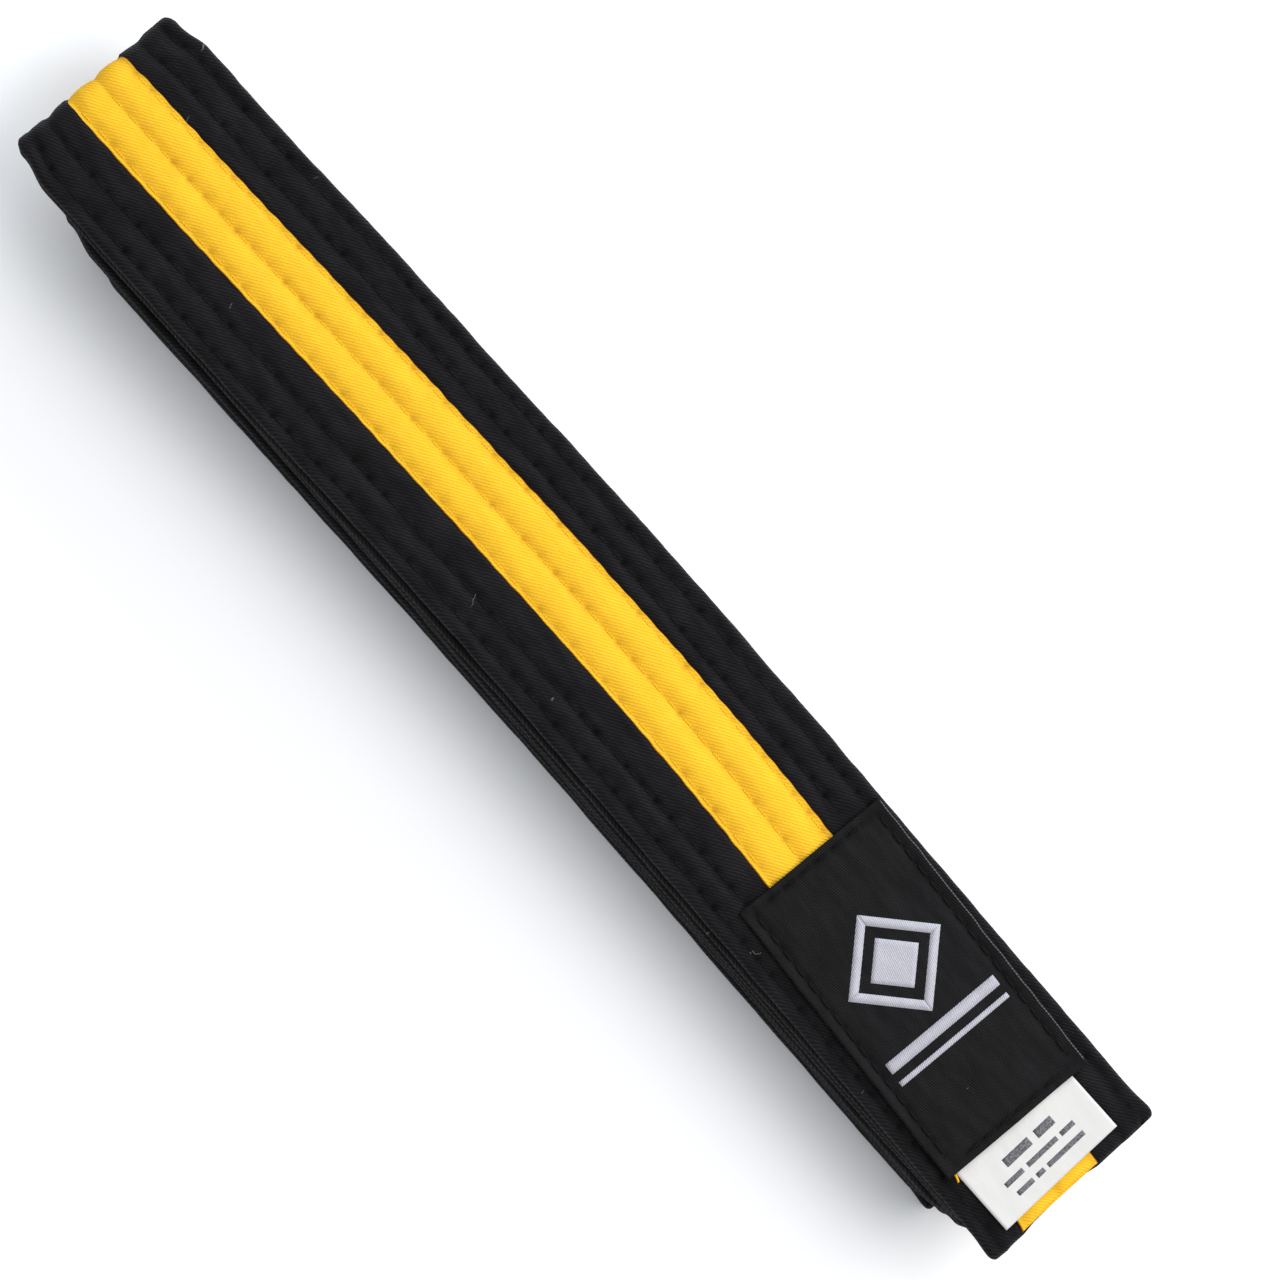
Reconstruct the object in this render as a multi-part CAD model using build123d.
from build123d import *

import math
import os
from dataclasses import dataclass

# A child's martial arts belt: a padded black cotton strap with a yellow centre tape,
# folded flat into eight layers that zigzag between a far end (-X) and a tip end (+X).
# The free tip with the sewn labels is on top. Millimetres, +Z up, origin at the centre
# of the bottom of the whole bundle. Heights inside a layer are measured from its middle.

# Strap
BELT_LENGTH = 2200.0
BELT_WIDTH = 42.0
COVER_HALF = 1.25
COVER_WALL = 0.5
TAPE_WIDTH = 15.5
TAPE_THICKNESS = 0.35
FACE_HALF = COVER_HALF + TAPE_THICKNESS

# The two padding plies inside the cover
PLY_FIT = 0.05
PLY_SIDE_FIT = 0.4
HEM_LENGTH = 6.0

# Lengthwise rows of lockstitch
TAPE_ROWS = (-6.7, 0.0, 6.7)
COVER_ROWS = (-18.4, -13.1, 13.1, 18.4)
THREAD_WIDTH = 0.5
THREAD_IN_TAPE = 0.15
THREAD_ON_COVER = 0.2
ROW_INSET = 1.0

# Folded bundle
LAYERS = 8
PITCH = 3.5
HALF_PITCH = PITCH / 2
SPLIT_GAP = 0.3
TOP_LENGTH = 293.0
FAR_STEP = 7.0
TIP_STEP = 3.2
TURN_RADIUS = HALF_PITCH + FACE_HALF
HINGE_REACH = 0.3

# Brand label, sewn flat across the strap, with a plain woven lozenge and two bars
LABEL_LENGTH = 66.5
LABEL_WIDTH = 35.7
LABEL_TOP = 2.1
LABEL_FROM_TIP = 17.5
LABEL_SEAM_LONG_INSET = 2.3
LABEL_SEAM_END_INSET = 1.9
LABEL_THREAD_HEIGHT = 0.15
MOTIF_HEIGHT = 0.1
MOTIF_SPAN = 17.0
MOTIF_LINE = 1.6
MOTIF_CENTRE_FROM_TIP = 57.0
MOTIF_BAR_LENGTH = 28.0
MOTIF_BAR_WIDTH = 1.2
MOTIF_BARS_FROM_TIP = (37.0, 40.5)

# Size label, tucked under the tip-side edge of the brand label
SIZE_WIDTH = 30.2
SIZE_THICKNESS = 0.25
SIZE_TUCK = 6.0
SIZE_HINGE_GAP = 0.5
SIZE_HINGE_FIT = 0.1
SIZE_FROM_TIP = 3.4
PRINT_HEIGHT = 0.1
PRINT_BARS = ((4.9, 24.0, 1.1), (7.8, 19.0, 1.1), (11.0, 14.0, 2.0))

FAR_SIDE = -1
TIP_SIDE = 1
FAR_APEX = -TOP_LENGTH / 2
TIP_X = TOP_LENGTH / 2
LABEL_EDGE_X = TIP_X - LABEL_FROM_TIP
SIZE_HINGE_X = LABEL_EDGE_X + SIZE_HINGE_GAP


@dataclass(frozen=True)
class Layer:
    """One straight run of the strap: its height, its ends, and which way each end turns."""

    number: int
    middle: float
    far_x: float
    tip_x: float
    far_turn: int
    tip_turn: int

    @property
    def length(self):
        """The length of strap in this layer, along its middle."""
        quarters = abs(self.far_turn) + abs(self.tip_turn)
        return self.tip_x - self.far_x + quarters * HALF_PITCH * math.pi / 2


def make_layer(number):
    """Layer 1 is on top. Odd layers turn down at the far end, even ones turn up there."""
    odd = number % 2 == 1
    far_fold = (number - 1) // 2
    tip_fold = number // 2
    far_x = FAR_APEX + FAR_STEP * far_fold + TURN_RADIUS
    tip_x = TIP_X - TIP_STEP * tip_fold
    free_tip = number in (1, LAYERS)
    return Layer(
        number=number,
        middle=FACE_HALF + (LAYERS - number) * PITCH,
        far_x=far_x,
        tip_x=tip_x if free_tip else tip_x - TURN_RADIUS,
        far_turn=-1 if odd else 1,
        tip_turn=0 if free_tip else (1 if odd else -1),
    )


def block(x0, x1, y0, y1, z0, z1):
    """A box between two corners."""
    return Pos((x0 + x1) / 2, (y0 + y1) / 2, (z0 + z1) / 2) * Box(x1 - x0, y1 - y0, z1 - z0)


def quarter_turn(layer, x, side, turn, low, high):
    """The outline of a band where it curls up or down to the split line of a fold."""
    centre_z = layer.middle + turn * HALF_PITCH
    outer = HALF_PITCH - turn * (low if turn > 0 else high)
    inner = HALF_PITCH - turn * (high if turn > 0 else low)
    reach = 2 * outer
    split = SPLIT_GAP / 2
    window = Pos(x + side * reach / 2, centre_z - turn * (split + reach / 2)) * Rectangle(reach, reach)
    return (Pos(x, centre_z) * (Circle(outer) - Circle(inner))) & window


def band(layer, low, high, width, tip_inset=0.0):
    """A strip of the layer between two heights, with its curls, centred on the strap."""
    end_x = layer.tip_x - (0.0 if layer.tip_turn else tip_inset)
    middle_x = (layer.far_x + end_x) / 2
    middle_z = layer.middle + (low + high) / 2
    outline = Pos(middle_x, middle_z) * Rectangle(end_x - layer.far_x, high - low)
    outline += quarter_turn(layer, layer.far_x, FAR_SIDE, layer.far_turn, low, high)
    if layer.tip_turn:
        outline += quarter_turn(layer, layer.tip_x, TIP_SIDE, layer.tip_turn, low, high)
    return extrude(Plane.XZ * outline, amount=width / 2, both=True)


def thread_row(layer, y, low, high):
    """One row of thread, along the straight part of a layer."""
    half = THREAD_WIDTH / 2
    return block(
        layer.far_x + ROW_INSET,
        layer.tip_x - ROW_INSET,
        y - half,
        y + half,
        layer.middle + low,
        layer.middle + high,
    )


def tape_rows(layer, face):
    """The three rows that are sunk flush into the tape of one face, +1 top or -1 bottom."""
    edges = sorted((face * FACE_HALF, face * (FACE_HALF - THREAD_IN_TAPE)))
    return [thread_row(layer, y, *edges) for y in TAPE_ROWS]


def cover_rows(layer, face):
    """The four rows that lie on the cover of one face."""
    edges = sorted((face * COVER_HALF, face * (COVER_HALF + THREAD_ON_COVER)))
    return [thread_row(layer, y, *edges) for y in COVER_ROWS if label_is_clear(layer, face, y)]


def label_is_clear(layer, face, y):
    """False for the rows that run under the brand label on the top face of layer 1."""
    return not (layer.number == 1 and face > 0 and abs(y) < LABEL_WIDTH / 2)


def rows_to_label(layer):
    """The rows of layer 1 that would run under the brand label stop at its far edge."""
    end_x = LABEL_EDGE_X - LABEL_LENGTH - ROW_INSET
    half = THREAD_WIDTH / 2
    low = layer.middle + COVER_HALF
    hidden = [y for y in COVER_ROWS if not label_is_clear(layer, 1, y)]
    return [
        block(layer.far_x + ROW_INSET, end_x, y - half, y + half, low, low + THREAD_ON_COVER)
        for y in hidden
    ]


def make_cover(layer):
    """The cloth tube: open at its folds, where it runs on into the next layer."""
    outside = band(layer, -COVER_HALF, COVER_HALF, BELT_WIDTH)
    inner_half = COVER_HALF - COVER_WALL
    inside = band(layer, -inner_half, inner_half, BELT_WIDTH - 2 * COVER_WALL, COVER_WALL)
    return outside - inside


def make_ply(layer, face):
    """One of the two padding plies, above (+1) or below (-1) the middle of the strap."""
    edges = sorted((face * PLY_FIT, face * (COVER_HALF - COVER_WALL)))
    width = BELT_WIDTH - 2 * (COVER_WALL + PLY_SIDE_FIT)
    return band(layer, *edges, width, COVER_WALL + HEM_LENGTH)


def make_tape(layer, face):
    """The centre tape of one face, with a shallow groove for each row of thread."""
    edges = sorted((face * COVER_HALF, face * FACE_HALF))
    tape = band(layer, *edges, TAPE_WIDTH)
    for row in tape_rows(layer, face):
        tape -= row
    return tape


def make_stitching(layer):
    """All the lockstitch rows of a layer, on both faces, as separate threads."""
    rows = []
    for face in (1, -1):
        rows += tape_rows(layer, face)
        rows += cover_rows(layer, face)
    if layer.number == 1:
        rows += rows_to_label(layer)
    return Compound(children=rows)


def make_hem(layer):
    """The end of the cover, folded in and closed between the plies and the tip."""
    inner_half = COVER_HALF - COVER_WALL
    half_width = BELT_WIDTH / 2 - COVER_WALL
    end_x = layer.tip_x - COVER_WALL
    low, high = layer.middle - inner_half, layer.middle + inner_half
    return block(end_x - HEM_LENGTH, end_x, -half_width, half_width, low, high)


def make_brand_label(layer):
    """The woven label: it steps over the tape and over the tucked end of the size label."""
    half = LABEL_WIDTH / 2
    base = layer.middle + COVER_HALF
    start_x = LABEL_EDGE_X - LABEL_LENGTH
    label = block(start_x, LABEL_EDGE_X, -half, half, base, layer.middle + LABEL_TOP)
    label -= block(
        start_x, LABEL_EDGE_X, -TAPE_WIDTH / 2, TAPE_WIDTH / 2, base, layer.middle + FACE_HALF
    )
    return label - make_size_tuck(layer)


def make_size_tuck(layer):
    """The end of the size label that is caught under the brand label."""
    half = SIZE_WIDTH / 2
    base = layer.middle + FACE_HALF
    return block(LABEL_EDGE_X - SIZE_TUCK, LABEL_EDGE_X, -half, half, base, base + SIZE_THICKNESS)


def make_size_label(layer):
    """The free flap of the size label, which lies towards the tip."""
    half = SIZE_WIDTH / 2
    base = layer.middle + FACE_HALF
    start_x = SIZE_HINGE_X + SIZE_HINGE_FIT
    return block(start_x, TIP_X - SIZE_FROM_TIP, -half, half, base, base + SIZE_THICKNESS)


def make_size_print(layer):
    """Plain printed bars on the size label, in place of its words."""
    base = layer.middle + FACE_HALF + SIZE_THICKNESS
    bars = [
        block(TIP_X - from_tip - wide, TIP_X - from_tip, -span / 2, span / 2, base, base + PRINT_HEIGHT)
        for from_tip, span, wide in PRINT_BARS
    ]
    return Compound(children=bars)


def make_label_motif(layer):
    """A lozenge outline round a smaller lozenge, and two bars, woven into the label."""
    base = layer.middle + LABEL_TOP
    centre = Pos(TIP_X - MOTIF_CENTRE_FROM_TIP, 0, base) * Rot(0, 0, 45)
    ring = Rectangle(MOTIF_SPAN, MOTIF_SPAN) - Rectangle(
        MOTIF_SPAN - 2 * MOTIF_LINE, MOTIF_SPAN - 2 * MOTIF_LINE
    )
    core = Rectangle(MOTIF_SPAN / 2, MOTIF_SPAN / 2)
    pieces = [extrude(centre * ring, MOTIF_HEIGHT), extrude(centre * core, MOTIF_HEIGHT)]
    half = MOTIF_BAR_LENGTH / 2
    for from_tip in MOTIF_BARS_FROM_TIP:
        end_x = TIP_X - from_tip
        pieces.append(block(end_x - MOTIF_BAR_WIDTH, end_x, -half, half, base, base + MOTIF_HEIGHT))
    return Compound(children=pieces)


def make_label_stitching(layer):
    """The thread that sews the brand label down along its four edges."""
    base = layer.middle + LABEL_TOP
    top = base + LABEL_THREAD_HEIGHT
    half_thread = THREAD_WIDTH / 2
    side_y = LABEL_WIDTH / 2 - LABEL_SEAM_LONG_INSET
    far_x = LABEL_EDGE_X - LABEL_LENGTH + LABEL_SEAM_END_INSET
    near_x = LABEL_EDGE_X - LABEL_SEAM_END_INSET
    rows = []
    for y in (-side_y, side_y):
        rows.append(block(far_x, near_x, y - half_thread, y + half_thread, base, top))
    between = side_y - THREAD_WIDTH
    for x in (far_x, near_x):
        rows.append(block(x - half_thread, x + half_thread, -between, between, base, top))
    return Compound(children=rows)


def make_nodes(layers):
    """Every piece of the belt, by name."""
    nodes = {}
    for layer in layers:
        name = f"layer_{layer.number}"
        nodes[f"{name}_cover"] = make_cover(layer)
        nodes[f"{name}_ply_top"] = make_ply(layer, 1)
        nodes[f"{name}_ply_bottom"] = make_ply(layer, -1)
        nodes[f"{name}_tape_top"] = make_tape(layer, 1)
        nodes[f"{name}_tape_bottom"] = make_tape(layer, -1)
        nodes[f"{name}_stitching"] = make_stitching(layer)
    top, bottom = layers[0], layers[-1]
    nodes["tip_hem_top"] = make_hem(top)
    nodes["tip_hem_bottom"] = make_hem(bottom)
    nodes["brand_label"] = make_brand_label(top)
    nodes["label_motif"] = make_label_motif(top)
    nodes["label_stitching"] = make_label_stitching(top)
    nodes["size_label_tuck"] = make_size_tuck(top)
    nodes["size_label"] = make_size_label(top)
    nodes["size_print"] = make_size_print(top)
    return nodes


def fold_hinge(upper, lower):
    """Where the crease between two layers turns: just outside the outermost cloth."""
    side = TIP_SIDE if upper.tip_turn < 0 else FAR_SIDE
    end_x = upper.tip_x if side == TIP_SIDE else upper.far_x
    return end_x + side * (TURN_RADIUS + HINGE_REACH), (upper.middle + lower.middle) / 2


def main():
    """Build the belt, print its figures and write one file per piece."""
    layers = [make_layer(number) for number in range(1, LAYERS + 1)]
    print(f"strap in the bundle {sum(layer.length for layer in layers):.1f} of {BELT_LENGTH:.0f} mm")
    for upper, lower in zip(layers, layers[1:]):
        x, z = fold_hinge(upper, lower)
        print(f"fold {upper.number}: hinge at x {x:.3f}, z {z:.3f}")
    flap_z = layers[0].middle + FACE_HALF
    print(f"size label: hinge at x {SIZE_HINGE_X:.3f}, z {flap_z:.3f}")
    os.makedirs("parts", exist_ok=True)
    for name, shape in make_nodes(layers).items():
        export_step(shape, f"parts/{name}.step")


main()
